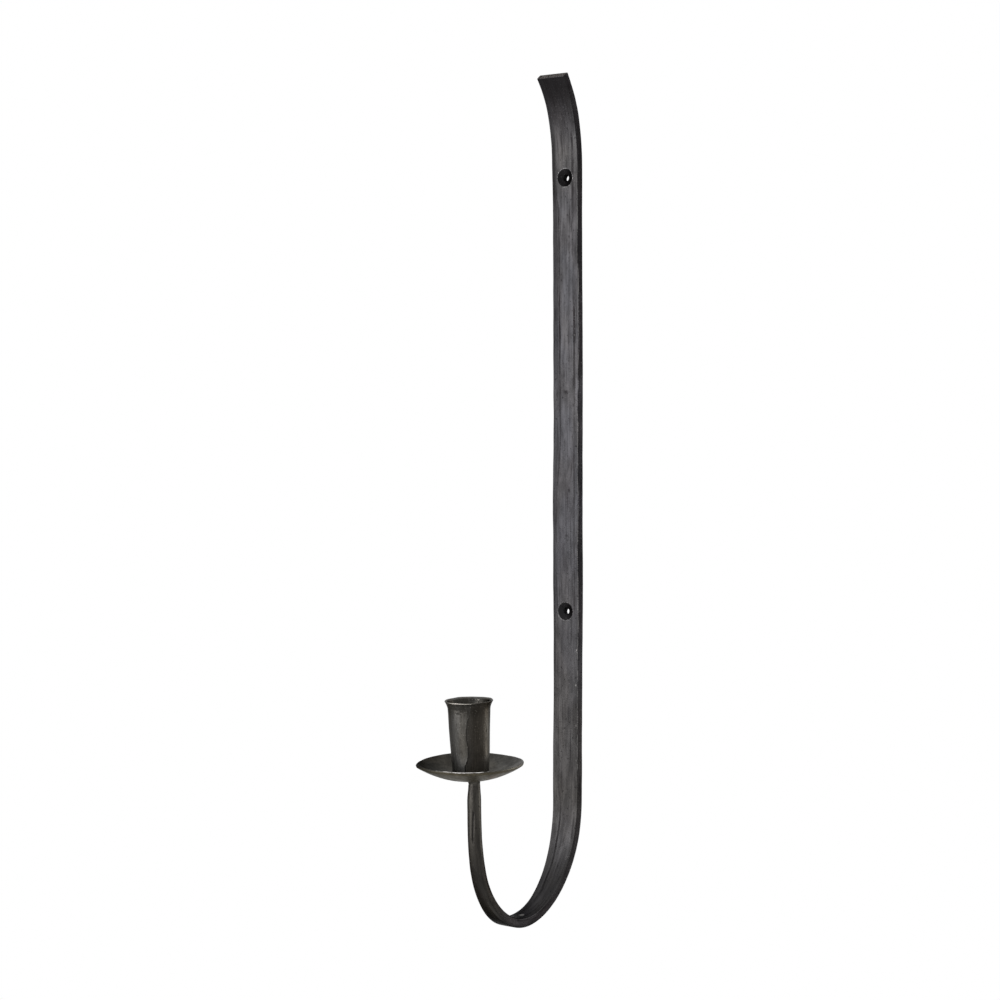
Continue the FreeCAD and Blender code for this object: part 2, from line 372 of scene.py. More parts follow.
# How much of that rubbing there is along the bar, and how black its bevels are, as (place, strength)
rub_level = 0.9
rub_share = ((0, 0.2), (60, 0.3), (90, 1.0), (440, 1.0), (490, 0.3))
left_bevel_black = ((0, 0.0), (40, 0.2), (55, 0.5), (78, 0.45), (92, 0.33), (185, 0.33), (205, 0.1),
                    (240, 0.15), (262, 0.26), (290, 0.38), (340, 0.45), (400, 0.25), (435, 0.0))
right_bevel_black = ((0, 0.0), (38, 0.3), (85, 0.3), (96, 0.05), (140, 0.15), (185, 0.15), (205, 0.0))

# Dark lines along the two bevels, as (place, strength), their usual level and how deep they are cut
right_line = ((0, 0.1), (42, 0.8), (84, 0.7), (96, 0.4), (140, 0.5), (152, 1.0), (192, 0.9), (215, 0.4),
              (262, 0.7), (345, 0.65), (368, 0.2), (450, 0.3), (520, 0.1))
left_line = ((0, 0.0), (50, 0.3), (84, 0.7), (140, 0.7), (150, 1.0), (175, 0.9), (190, 0.6), (262, 0.6),
             (300, 0.5), (420, 0.4), (470, 0.6), (482, 0.95), (535, 0.9), (552, 0.2), (590, 0.1))
line_level = 0.95
line_depth = 0.1

# Which side of the section each bevel is, and which corner has each line
bevel_sides = {1: right_bevel_black, 7: left_bevel_black}
line_corners = {0: right_line, 7: left_line}

# Painted shade that makes the bar darker in places, as (place, strength), strongest on the curl and round
# the foot of the J and the stem, whose reflections miss the lamps
bar_painted_shade = ((0, 0.82), (14, 0.85), (26, 0.8), (38, 0.48), (48, 0.12), (54, 0.0), (80, 0.14), (100, 0.2),
             (110, 0.06), (120, 0.06), (140, 0.2), (178, 0.1), (215, 0.06), (263, 0.29), (300, 0.34),
             (370, 0.38), (410, 0.26), (440, 0.24), (460, 0.37), (475, 0.25), (492, 0.41), (512, 0.22),
             (530, 0.0), (573, 0.08), (582, 0.42), (590, 0.56), (602, 0.72), (625, 0.86), (640, 0.72),
             (652, 0.36), (664, 0.28), (680, 0.08), (690, 0.3), (700, 0.5))

# How much of that painted shade the sides lose, so that they show lighter: the right of the stem, the left,
# and the back of the strap
right_shade_loss = 0.45
left_shade_loss = 0.9
back_shade_loss = 1.3

# Wear of the hammered end, on its face and on the arris round it
end_face_reach = 0.12
end_arris_place = 0.3
end_arris_reach = 0.25
end_face_rub = 0.5
end_arris_rub = 0.4
end_bareness = 0.7
end_face_rust = 0.6

# Screw holes: how dark each countersink is painted, as painted shade in the recess, the rubbed edge round
# it, and what still counts as the back
hole_painted_shade = (0.94, 0.76)
hole_edge_width = 0.2
hole_edge_depth = 0.1
hole_edge_fade = 0.15
hole_edge_rub = 0.5
back_slack = 0.1

# Olive warmth of the lower strap, the bend and the stem, as (place, strength)
bar_warmth = ((0, 0.0), (30, 0.2), (50, 0.4), (72, 0.3), (86, 0.0), (320, 0.0), (420, 0.35), (470, 0.6),
              (500, 0.3), (585, 0.2), (612, 1.0))

# Nicks and scratches on the strap's face, and one painted highlight in the crotch of the J: across, along,
# half width, half length, strength. They show where the surface faces forward by more than the front tilt.
front_tilt = 0.2
rubbed_nicks_and_glint = (
    (8.6, 375.5, 0.8, 2.8, 0.5),
    (8.2, 398.0, 0.9, 2.0, 0.48),
    (8.3, 424.0, 0.8, 2.4, 0.48),
    (6.4, 434.0, 0.5, 0.9, 0.45),
    (8.4, 447.1, 0.6, 0.9, 0.6),
    (8.2, 468.6, 0.5, 1.8, 0.5),
    (-5.2, 389.8, 0.9, 0.6, 0.5),
    (7.2, 168.5, 0.7, 0.8, 0.5),
    (7.2, 221.4, 0.7, 1.6, 0.42),
    (-4.6, 200.0, 0.5, 2.5, 0.4),
    (6.4, 513.0, 1.2, 2.5, 0.45),
    # A painted highlight in the crotch of the J, not a nick
    (0.5, 571.0, 2.5, 3.0, 0.75),
)
black_scratches = (
    (3.8, 363.8, 1.3, 0.5, 0.7),
    (3.1, 269.8, 1.1, 1.5, 1.0),
    (3.2, 263.5, 0.9, 3.5, 0.5),
    (0.8, 205.4, 2.2, 1.2, 1.0),
    (-6.5, 206.8, 0.6, 3.0, 0.85),
    (-0.7, 194.3, 0.6, 2.0, 0.6),
    (6.6, 214.0, 0.8, 1.4, 0.9),
    (5.7, 235.3, 0.45, 5.0, 0.75),
    (-0.1, 239.5, 0.6, 4.5, 0.65),
    (0.9, 299.6, 1.8, 0.6, 0.8),
    (2.4, 92.0, 0.5, 5.0, 0.5),
    (-2.0, 42.0, 0.35, 7.0, 0.45),
    (-4.0, 36.0, 0.35, 4.5, 0.4),
    (3.4, 91.0, 0.55, 6.0, 0.9),
    (5.0, 98.5, 0.5, 5.0, 0.8),
    (3.2, 104.8, 0.9, 0.9, 0.95),
    (-0.3, 486.0, 0.5, 12.0, 0.6),
)

# Crease on the stem: angle from the front towards +X, twist per millimetre, where it runs, its size, and how
# round the bar has to be there
crease_angle = math.radians(21.0)
crease_twist = 0.009
crease_start = -5.5
crease_end = 16.0
crease_fade = 4.0
crease_reach = 0.52
crease_depth = 0.6
crease_roundness = 0.9


class Station:
    """One place along the bar: where its section lies and what the section measures."""

    def __init__(self, centre, inward, width, thickness, roundness, along):
        self.centre = centre
        self.inward = inward
        self.width = width
        self.thickness = thickness
        self.roundness = roundness
        self.flatness = 1 - roundness
        self.along = along


def curl_stations():
    middle = Vector((0, -curl_radius - strap_thickness / 2, curl_start_height))
    for run in (*end_steps, *np.arange(end_steps[-1] + bar_step, curl_length + curl_overrun, bar_step)):
        along = run - curl_overrun
        angle = curl_angle - along / curl_radius
        inward = Vector((0, -math.cos(angle), -math.sin(angle)))
        centre = middle - inward * (curl_radius + swell(along, *curl_slack))
        yield Station(centre, inward, strap_width, strap_thickness, 0.0, along)


def strap_stations():
    steps = round(strap_length / bar_step)
    for step in range(steps):
        run = strap_length * step / steps
        centre = Vector((0, -strap_thickness / 2, curl_start_height - run))
        yield Station(centre, Vector((0, -1, 0)), strap_width, strap_thickness, 0.0, curl_length + run)


def bend_stations():
    strap_key = (strap_width, strap_thickness, 0.0)
    bottom_key = (bottom_width, bottom_thickness, bottom_roundness)
    stem_key = (stem_diameter, stem_diameter, 1.0)
    quarters = (
        (bend_strap_span, bend_depth, 0.0, bend_start_height, strap_key, bottom_key),
        (bend_stem_span, bend_stem_rise, math.pi / 2, bend_end_height, bottom_key, stem_key),
    )
    along = curl_length + strap_length
    last = Vector((0, -strap_thickness / 2, bend_start_height))
    for span, drop, first_turn, middle_height, first_key, second_key in quarters:
        for step in range(bend_steps):
            share = step / bend_steps
            turn = first_turn + math.pi / 2 * share
            centre = Vector((0, bend_low_y + span * math.cos(turn), middle_height - drop * math.sin(turn)))
            inward = Vector((0, -drop * math.cos(turn), span * math.sin(turn))).normalized()
            along += (centre - last).length
            last = centre
            yield Station(centre, inward, *blend(first_key, second_key, eased(share)), along)


def stem_stations(stem_start):
    """The straight stem and its drawn-in neck, up to the shoulder under the pan."""
    shaft = Vector((0, -stem_reach, 0))
    neck = rivet_seat - rivet_up * shoulder_height
    taper_start = seat_height - shoulder_height - neck_taper_length
    steps = round((neck.z - bend_end_height) / bar_step)
    for step in range(steps):
        height = bend_end_height + (neck.z - bend_end_height) * step / steps
        taper = eased((height - taper_start) / neck_taper_length)
        centre = shaft + Vector((neck.x * taper, (neck.y - shaft.y) * taper, height))
        diameter = stem_diameter + (neck_diameter - stem_diameter) * taper
        along = stem_start + height - bend_end_height
        yield Station(centre, Vector((0, 1, 0)), diameter, diameter, 1.0, along)


def quarter_inset(from_end, radius):
    """How far a rounded edge of this radius lies inside its straight line, this far from the end."""
    if from_end >= radius:
        return 0.0
    return radius - math.sqrt(radius ** 2 - (radius - from_end) ** 2)


def strap_corners(station, thickness):
    """Corners of the flat section as (across, inward), clockwise from the front's right bevel."""
    along = station.along
    narrow = station.width / strap_width
    from_end = along + curl_overrun
    inset = quarter_inset(from_end, end_rounding)
    half_thickness = thickness / 2 - inset
    chipped = at(right_chip, along) * (1 + waver(7, along, strength=0.15, length=8))
    rounded = quarter_inset(from_end, end_corner_rounding)
    sides = []
    for edge, bevel_width, bevel_drop, front_loss, end_loss, seed in (
        (right_edge, right_bevel_width, right_bevel_drop, chipped, 0.0, 1),
        (left_edge, left_bevel_width, left_bevel_drop, 0.0, rounded, 2),
    ):
        straight = (station.width + at(width_gain, along)) / 2 + at(edge, along) - inset
        half_width = straight + waver(seed, along, strength=0.12, length=26) - end_loss
        bevel = at(bevel_width, along) * narrow * (1 + waver(seed + 2, along, strength=0.12, length=15))
        drop = at(bevel_drop, along) * (1 + waver(seed + 4, along, strength=0.3, length=13))
        sides.append([
            (half_width - bevel, half_thickness),
            (half_width - front_loss, half_thickness - drop),
            (half_width, back_chamfer - half_thickness),
            (half_width - back_chamfer, -half_thickness),
        ])
    right, left = sides
    return right + [(-across, inward) for across, inward in reversed(left)]


def ellipse_points(radius, stretch, first_angle):
    angles = [first_angle - math.pi / 4 * side for side in range(8)]
    return [(stretch * radius * math.cos(angle), radius * math.sin(angle)) for angle in angles]


def bezier(start, control, end, share):
    return [(1 - share) ** 2 * a + 2 * share * (1 - share) * b + share ** 2 * c
            for a, b, c in zip(start, control, end)]


def bar_outline(station):
    """Section of the bar, once round: (across, inward, side or None, corner or None) for each point."""
    thickness = station.thickness + at(thickness_gain, station.along)
    flat = strap_corners(station, thickness)
    middles = [blend(flat[side - 1], flat[side], 0.5) for side in range(8)]
    stretch = 1 + at(width_gain, station.along) / thickness
    round_corners = ellipse_points(thickness / 2, stretch, math.pi * 3 / 8)
    round_controls = ellipse_points(thickness / 2 / math.cos(math.pi / 8), stretch, math.pi / 2)
    corners = [blend(a, b, station.roundness) for a, b in zip(flat, round_corners)]
    controls = [blend(a, b, station.roundness) for a, b in zip(middles, round_controls)]
    starts = []
    ends = []
    for side in range(8):
        length = math.dist(corners[side - 1], corners[side])
        starts.append(min(corner_reach[side - 1] / length, corner_limit))
        ends.append(1 - min(corner_reach[side] / length, corner_limit))
    outline = []
    for side in range(8):
        for share in np.linspace(starts[side], ends[side], side_points[side]):
            outline.append((*bezier(corners[side - 1], controls[side], corners[side], share), side, None))
        after = (side + 1) % 8
        last = outline[-1][:2]
        first = bezier(corners[side], controls[after], corners[after], starts[after])
        for step in range(1, corner_points + 1):
            outline.append((*bezier(last, corners[side], first, step / (corner_points + 1)), None, side))
    return outline


def outline_normals(outline):
    """Outward direction at each point of a section."""
    places = np.array([place[:2] for place in outline])
    tangents = np.roll(places, -1, axis=0) - np.roll(places, 1, axis=0)
    normals = np.stack([-tangents[:, 1], tangents[:, 0]], axis=1)
    return normals / np.linalg.norm(normals, axis=1, keepdims=True)


def hammer_dent(station, across, inward, normal):
    """How far the hammer has pushed the surface in at one place of the bar, on its back only inwards."""
    along = station.along
    front = max(normal[1], 0.0) ** 2 * blows(6, across, along, width=9, length=24)
    back = max(-normal[1], 0.0) ** 2 * (blows(7, across, along, width=14, length=22) + 0.5)
    side = normal[0] ** 2 * blows(8, inward, along, width=9, length=15)
    round_the_stem = math.atan2(normal[0], -normal[1]) * stem_blows_per_radian
    flat_dent = flat_blow_depth * (front + back) + side_blow_depth * side
    stem_dent = stem_blow_depth * blows(9, round_the_stem, along, length=16)
    return flat_dent * station.flatness + stem_dent * station.roundness


def bevel_line(station, corner):
    """Strength of the dark line along a bevel, broken up along its way."""
    line = line_corners.get(corner)
    if line is None:
        return 0.0
    broken = line_level + waver(12 + corner, station.along, strength=0.5, length=7)
    return min(max(at(line, station.along) * broken, 0.0), 1.0) * station.flatness


def stem_crease(station, normal, stem_start):
    """Strength of the crease on the stem."""
    if station.roundness < crease_roundness:
        return 0.0
    run = station.along - stem_start
    angle = math.atan2(normal[0], -normal[1]) + waver(14, run, strength=0.05, length=5)
    apart = turn_between(angle, crease_angle + crease_twist * run) * stem_diameter / 2
    faded = eased((run - crease_start) / crease_fade) * eased((crease_end - run) / crease_fade)
    return bump(apart, crease_reach) * faded


def mark_strength(marks, station, across, normal):
    """Strength of these marks, nicks, scratches and one painted highlight, at one place of the bar, 0 away
    from the strap's front.
    """
    strength = 0.0
    if normal[1] > front_tilt:
        for mark_across, mark_along, half_width, half_length, mark in marks:
            apart = (across - mark_across) / half_width
            away = math.hypot(apart, (station.along - mark_along) / half_length)
            strength = max(strength, mark * bump(away, 1.0))
    return strength


def painted_shade_share(station, normal):
    """Share of the bar's painted shade that is left where its surface faces this way."""
    right = right_shade_loss * max(normal[0], 0.0) ** 2 * station.roundness
    left = left_shade_loss * max(-normal[0], 0.0)
    back = back_shade_loss * max(-normal[1], 0.0) * station.flatness
    return max(1 - (right + left) - back, 0.0)


def add_bar_sections(shape, stations, stem_start):
    for station in stations:
        along = station.along
        outline = bar_outline(station)
        end_face = bump(along + curl_overrun, end_face_reach)
        end_arris = bump(along + curl_overrun - end_arris_place, end_arris_reach)
        end_rub = max(end_arris_rub * end_arris, end_face_rub * end_face)
        # Painted shade along the bar, thinned below on the sides that lose some of it
        scale = at(bar_painted_shade, along)
        warmth = at(bar_warmth, along)
        bow = swell(along, *stem_bow)
        broken = rub_level + waver(17, along, strength=0.5, length=6)
        rub = at(rub_share, along) * station.flatness * max(broken, 0.0)
        side_share = at(side_black_share, along) * min(side_black_hold * station.flatness, 1.0)
        bevel_black = {side: at(black, along) for side, black in bevel_sides.items()}
        for (across, inward, side, corner), normal in zip(outline, outline_normals(outline)):
            line = bevel_line(station, corner)
            crease = stem_crease(station, normal, stem_start)
            dent = hammer_dent(station, across, inward, normal) + line_depth * line + crease_depth * crease
            rubbed_and_highlight = max(mark_strength(rubbed_nicks_and_glint, station, across, normal), end_rub)
            scratched = mark_strength(black_scratches, station, across, normal)
            scaled = scale * painted_shade_share(station, normal)
            black = max(scratched, bevel_black.get(side, 0.0), scaled, line, crease)
            if corner is not None:
                rubbed_and_highlight = max(rubbed_and_highlight, corner_rub[corner] * rub * (1 - line))
            if side is not None:
                black = max(black, side_black[side] * side_share)
            black *= 1 - end_bareness * max(end_face, end_arris)
            across -= normal[0] * dent
            inward -= normal[1] * dent
            point = station.centre + Vector((across + bow, 0, 0)) + station.inward * inward
            shape.add(point, (across, along, inward), rubbed_and_highlight, black, end_face_rust * end_face, warmth)


def add_seat_and_rivet(shape, outline, along):
    """Carries the stem on through the pan: shoulder, seat, tenon and the peened head inside the cup."""
    profile = []
    for share in (0.0, 0.25, 0.5, 0.75, 1.0):
        radius = neck_diameter / 2 + (shoulder_diameter - neck_diameter) / 2 * share ** 2
        seat_level = sphere_level(radius, pan_under_radius)
        profile.append((radius, -shoulder_height * (1 - share) + seat_level * share))
    profile.append((tenon_radius, sphere_level(tenon_radius, pan_under_radius) - seat_clearance))
    profile.append((tenon_radius, washer_top_level))
    profile.append((rivet_head_radius, washer_top_level))
    for share in (0.2, 0.4, 0.6, 0.8, 0.95):
        turn = share * math.pi / 2
        height = washer_top_level + rivet_head_height * math.sin(turn)
        profile.append((rivet_head_radius * math.cos(turn), height))
    angles = [math.atan2(place[1], place[0]) for place in outline]
    for radius, level in profile:
        for angle in angles:
            uneven = 1 + rivet_unevenness * ring_wobble(11, angle, 2, level)
            place = polar(radius * uneven, angle, level)
            shape.add(rivet_frame @ place, (place.x, along + level, place.y), warmth=1.0)
    return len(profile)


def make_screw_cutter(height):
    """Countersink and bore as one turned body, a little longer than the strap is thick."""
    columns = 72
    sink_steps = 12
    overshoot = 1.0
    slope = 1 / math.tan(countersink_angle / 2)
    profile = [(countersink_radius + overshoot / slope, -overshoot, (0.0, 0.0))]
    for share in np.linspace(0, 1, sink_steps).tolist():
        radius = countersink_radius + (hole_radius - countersink_radius) * share
        shift = (bore_entry_shift * share, 0.0)
        profile.append((radius, (countersink_radius - radius) * slope, shift))
    profile.append((hole_radius, strap_thickness + overshoot, bore_exit_shift))
    shape = Shape()
    for radius, depth, shift in profile:
        for column in range(columns):
            across, up = unit(2 * math.pi * column / columns) * radius + Vector(shift)
            shape.add(Vector((across, depth - strap_thickness, height + up)), (0, 0, 0))
    shape.grid(len(profile), columns)
    shape.cap_ends(len(profile), columns)
    return make_object("screw_cutter", shape, sharp_angle=30)


def cut(piece, cutter):
    boolean = piece.modifiers.new("cut", "BOOLEAN")
    boolean.operation = "DIFFERENCE"
    boolean.solver = "EXACT"
    boolean.object = cutter
    graph = bpy.context.evaluated_depsgraph_get()
    carved = bpy.data.meshes.new_from_object(piece.evaluated_get(graph))
    piece.modifiers.clear()
    piece.data = carved
    bpy.data.objects.remove(cutter)


def mark_holes(mesh):
    """Paints shade into the countersinks and bores and rubs their edges, from where the points lie."""
    flow = mesh.attributes["flow"].data
    marks = mesh.attributes["marks"].data
    back_radius = hole_radius + Vector(bore_exit_shift).length + back_slack
    for vertex in mesh.vertices:
        x, y, z = vertex.co / MM
        distance, strength = min((math.hypot(x, z - height), black)
                                 for height, black in zip(hole_heights, hole_painted_shade))
        on_back = y > -back_slack and distance > back_radius
        if distance > countersink_radius + hole_edge_width or on_back:
            continue
        depth = y + strap_thickness
        flow[vertex.index].vector = (x, curl_length + curl_start_height - z, strap_thickness / 2 - depth)
        inside = eased((depth - hole_edge_depth) / hole_edge_fade)
        marks[vertex.index].color = (hole_edge_rub * (1 - inside), strength * inside, 0.0, 0.0)


def make_forged_bar():
    stations = [*curl_stations(), *strap_stations(), *bend_stations()]
    stem_start = stations[-1].along
    stations += stem_stations(stem_start)
    shape = Shape()
    add_bar_sections(shape, stations, stem_start)
    outline = bar_outline(stations[-1])
    rows = len(stations) + add_seat_and_rivet(shape, outline, stations[-1].along)
    shape.grid(rows, len(outline))
    shape.cap_ends(rows, len(outline))
    bar = make_object("hammered_bar", shape, bar_sharp_angle)
    for height in hole_heights:
        cut(bar, make_screw_cutter(height))
    mark_holes(bar.data)
    shade(bar.data, bar_sharp_angle)
    return bar


# Drip pan: columns round it, rings from its hole to its rim, what the hammer left outside its seat, and how
# far the iron's pattern is stretched through the sheet
pan_columns = 240
pan_rings = 46
pan_ring_crowding = 0.8
pan_blow_depth = 0.1
pan_seat_radius = 13.5
pan_seat_fade = 4.0
pan_pattern_depth = 40
rim_rounding = (0.08, 0.3, 0.5, 0.7, 0.92)
rim_bulge = 0.012

# Unevenness of the rim's rise and growth, as (strength, seed, waves), and its bends: direction and reach in
# degrees, rise and outward growth in millimetres
rim_wobbles = ((0.12, 23, 2.4), (0.15, 21, 2.1))
rim_bends = ((205, 48, -1.7, -0.1), (-54, 55, -0.8, 0.0), (36, 35, -0.4, 0.7), (85, 40, -0.6, 0.0),
             (236, 18, 0.5, 0.0))

# Wear and painted light of the pan: its rubbed rim with specks and a painted highlight along its front,
# painted shade on one side as (strength, reach), and a spot of rust. Directions and the reaches round the
# pan are in degrees.
rim_rub = 0.2
rim_rub_reach = 0.38
rim_speck = 0.6
rim_speck_waves = 22
front_rim_highlight = 0.75
front_rim_highlight_side = (-60, 25)
pan_shaded_side = 216
pan_inside_shade = (0.72, 65)
pan_under_shade = (0.75, 48)
rust_place = Vector((22.5, -117.0))
rust_reach = 3.2


def pan_place(share, angle, height):
    """Place on the dish, a share of the way from its hole to its rim and a height above its underside."""
    hole_middle = rivet_seat.to_2d()
    rise, growth = edge_bend(angle, rim_wobbles, rim_bends)
    hole = hole_middle + tenon_hole_radius * unit(angle)
    rim = sphere_centre.to_2d() + (pan_radius + growth) * unit(angle)
    place = hole.lerp(rim, share)
    free = eased(((place - hole_middle).length - pan_seat_radius) / pan_seat_fade)
    dent = pan_blow_depth * free * blows(22, place.x, place.y, width=7.5, length=7.5)
    radius = pan_under_radius - height + dent
    level = sphere_centre.z - math.sqrt(radius ** 2 - (place - sphere_centre.to_2d()).length_squared)
    return Vector((place.x, place.y, level + rise * free * share ** 3))


def pan_painted_shade(share, angle, height):
    """Painted shade on one side of the pan, which grows towards the rim on its inside."""
    inside = height == pan_sheet
    strength, reach = pan_inside_shade if inside else pan_under_shade
    return strength * facing(angle, pan_shaded_side, reach) * (share if inside else 1.0)


def pan_point(share, height, turn):
    """Point, flow and marks at one place of the pan."""
    angle = 2 * math.pi * turn
    point = pan_place(share, angle, height)
    flow = (point.x, point.y, pan_pattern_depth * height)
    edge = bump(pan_sheet - height, rim_rub_reach * pan_sheet) if share >= 1 else 0.0
    speck = 1 + rim_speck * wobble(25, rim_speck_waves * angle)
    # The rim is rubbed all round, with a painted highlight along its front side
    rubbed_and_highlight = edge * speck * (rim_rub + front_rim_highlight * facing(angle, *front_rim_highlight_side))
    rust = bump((point.to_2d() - rust_place).length, rust_reach) if height == 0.0 else 0.0
    return point, flow, rubbed_and_highlight, pan_painted_shade(share, angle, height), rust, 1 - height / pan_sheet


def make_drip_pan():
    inside = [((ring / (pan_rings - 1)) ** pan_ring_crowding, pan_sheet) for ring in range(pan_rings)]
    rim = [(1.0 + rim_bulge * math.sin(math.pi * part), pan_sheet * (1 - part)) for part in rim_rounding]
    under = [(share, 0.0) for share, height in reversed(inside)]
    profile = inside + rim + under
    return ring_object("dished_pan", profile, even_turns(pan_columns), pan_point, sharp_angle=50)


# Candle cup: fineness, and unevenness of its wall and lip as for the pan's rim
cup_columns = 240
cup_rows = 92
cup_row_crowding = 0.85
cup_blow_depth = 0.08
cup_blow_waves = 1.5
cup_blow_skew = 0.4
cup_blow_height = 30
cup_pattern_depth = 30
lip_rounding = (0.1, 0.35, 0.65, 0.9)
lip_bulge = 0.35
lip_flare_power = 1.8
lip_run = 5.0
lip_wobbles = ((0.25, 34, 2.2), (0.2, 32, 2.0))
lip_bends = ((126, 60, 0.0, 0.1), (216, 50, -0.2, 0.35), (36, 50, 0.1, -0.1))
wall_growth = 0.3
cup_foot_level = sphere_level(cup_foot_radius, foot_radius)

# Swelling of the wall: direction and reach in degrees, level, reach in level, outward growth
wall_swells = ((216, 45, 33.0, 17.0, 0.45), (36, 45, 18.0, 8.0, 0.2))

# Painted shade of the wall, as (angle in degrees, strength) round it, its share of that as (level, share),
# none at the foot, left lighter there against the pan's shade, and more painted shade under the lip as
# (strength, level, reach)
wall_painted_shade = ((-135, 0.3), (-115, 0.5), (-95, 0.69), (-70, 0.79), (-62, 0.73), (-50, 0.73), (-44, 0.82),
              (-30, 0.82), (-20, 0.78), (5, 0.68), (18, 0.38), (30, 0.06), (50, 0.04), (80, 0.3))
wall_painted_shade_share = ((8, 0.0), (10, 0.12), (12.5, 0.42), (18, 1.0))
under_lip_painted_shade = (0.1, 45.0, 3.5)
# Painted shade inside the cup, and how near the lip it fades
inside_painted_shade = 0.84
inside_painted_shade_start = 0.5

# Seam: its wandering edge as (level, millimetres round the wall) and its lap. The rubbed edge, the shadow
# and the warmth beside it are (strength, place, reach), in laps from the edge or in turns round the cup.
seam_path = ((0, -2.7), (10.8, -2.3), (15.4, -0.4), (20, 0.2), (24.6, -0.4), (29.9, -1.0), (33, -0.8),
             (38, -0.2), (44, 2.0), (50, 2.4))
seam_edge_steps = (0.025, 0.006, 0.0)
seam_edge_height = 0.85
seam_rub = (0.3, 0.0, 0.06)
seam_shadow = (0.15, 0.0, 0.006)
seam_warmth = (1.0, 0.09, 0.09)
lap_height = 0.75

# Rubbed lip with a painted highlight along its front side in degrees, a painted glint inside, and how ragged
# the pits' edges are
lip_rub = 0.3
lip_rub_reach = 0.35
lip_front_highlight = 0.7
lip_front_highlight_side = (-78, 30)
glint_angle = math.radians(104.0)
glint_width = 0.3
glint_level = lip_level - 1.2
glint_height = 0.9
painted_glint = 0.45
pit_raggedness = 0.5

# Pits and nicks of the cup's wall: angle in degrees, level, half width, half height, depth, black, rubbed
cup_marks = (
    (-98, 47.6, 3.0, 0.5, 0.12, 0.7, 0.0),
    (-104, 45.8, 1.6, 0.5, 0.15, 0.6, 0.0),
    (-92, 45.4, 1.2, 0.4, 0.12, 0.7, 0.0),
    (-86, 42.8, 2.2, 0.7, 0.20, 0.85, 0.0),
    (-65, 45.6, 1.0, 0.5, 0.15, 0.6, 0.0),
    (-75, 44.2, 1.2, 0.5, 0.12, 0.7, 0.0),
    (5, 32.0, 0.9, 2.0, 0.15, 1.0, 0.0),
    (-82, 37.6, 0.5, 0.9, 0.0, 0.0, 0.4),
    (-76, 32.8, 0.4, 0.8, 0.0, 0.0, 0.4),
    (-72, 29.6, 0.9, 0.4, 0.0, 0.0, 0.35),
    (-77, 14.2, 0.6, 0.6, 0.0, 0.0, 0.4),
    (-70, 12.0, 0.5, 0.8, 0.0, 0.0, 0.4),
)


def cup_outer_radius(level):
    """Radius of the rolled wall, a slight cone with a flared lip."""
    slope = (cup_neck_radius - cup_foot_radius) / (cup_neck_level - cup_foot_level)
    radius = cup_foot_radius + slope * (level - cup_foot_level)
    flare = max(level - cup_neck_level, 0.0) / lip_height
    return radius + (lip_radius - cup_neck_radius - slope * lip_height) * flare ** lip_flare_power


def wall_swell(angle, level):
    growth = 0.0
    for direction, reach, swell_level, level_reach, rise in wall_swells:
        growth += rise * facing(angle, direction, reach) * bump(level - swell_level, level_reach)
    return growth


def cup_wall_painted_shade(angle, level):
    """Painted shade of the cup's wall outside, less towards the foot and more under the lip."""
    degrees = (math.degrees(angle) + 180) % 360 - 180
    return at(wall_painted_shade, degrees) * at(wall_painted_shade_share, level) + swell(level, *under_lip_painted_shade)


def cup_mark(angle, level):
    """Depth, blackness and rubbing of the pits and nicks at one place of the cup's wall."""
    strengths = np.zeros(3)
    ragged = 1 + pit_raggedness * wobble(36, angle * 6, level / 1.5)
    for mark_angle, mark_level, half_width, half_height, *mark_strengths in cup_marks:
        apart = turn_between(angle, math.radians(mark_angle)) * cup_neck_radius
        share = bump(math.hypot(apart / half_width, (level - mark_level) / half_height), ragged)
        strengths = np.maximum(strengths, share * np.array(mark_strengths))
    return strengths.tolist()


def cup_profile():
    """Levels and insets from the outer face, up the outside, over the lip and down the inside."""
    shares = [(row / (cup_rows - 1)) ** cup_row_crowding for row in range(cup_rows)]
    heights = [cup_foot_level + (lip_level - cup_foot_level) * share for share in shares]
    profile = [(level, 0.0) for level in heights]
    for part in lip_rounding:
        profile.append((lip_level + lip_bulge * math.sin(math.pi * part), cup_sheet * part))
    return profile + [(level, cup_sheet) for level in reversed(heights)]


def cup_rub_and_highlight(angle, lap, level, outside):
    """How far the lip and the seam's edge are rubbed, with a painted highlight on the lip's front and one
    painted glint inside.
    """
    lip_wear_and_highlight = lip_rub + lip_front_highlight * facing(angle, *lip_front_highlight_side)
    seam = outside * swell(lap, *seam_rub)
    glint = bump(turn_between(angle, glint_angle), glint_width) * bump(level - glint_level, glint_height)
    return max(lip_wear_and_highlight * bump(level - lip_level, lip_rub_reach), seam, painted_glint * (1 - outside) * glint)


def cup_black(angle, turn, level, outside):
    """Painted shade of the wall outside, the painted shadow below the seam and the painted shade inside."""
    below_seam = outside * swell(turn, *seam_shadow)
    shaded = inside_painted_shade * (1 - outside) * (1 - bump(level - lip_level, inside_painted_shade_start))
    return max(below_seam, shaded, outside * cup_wall_painted_shade(angle, level))


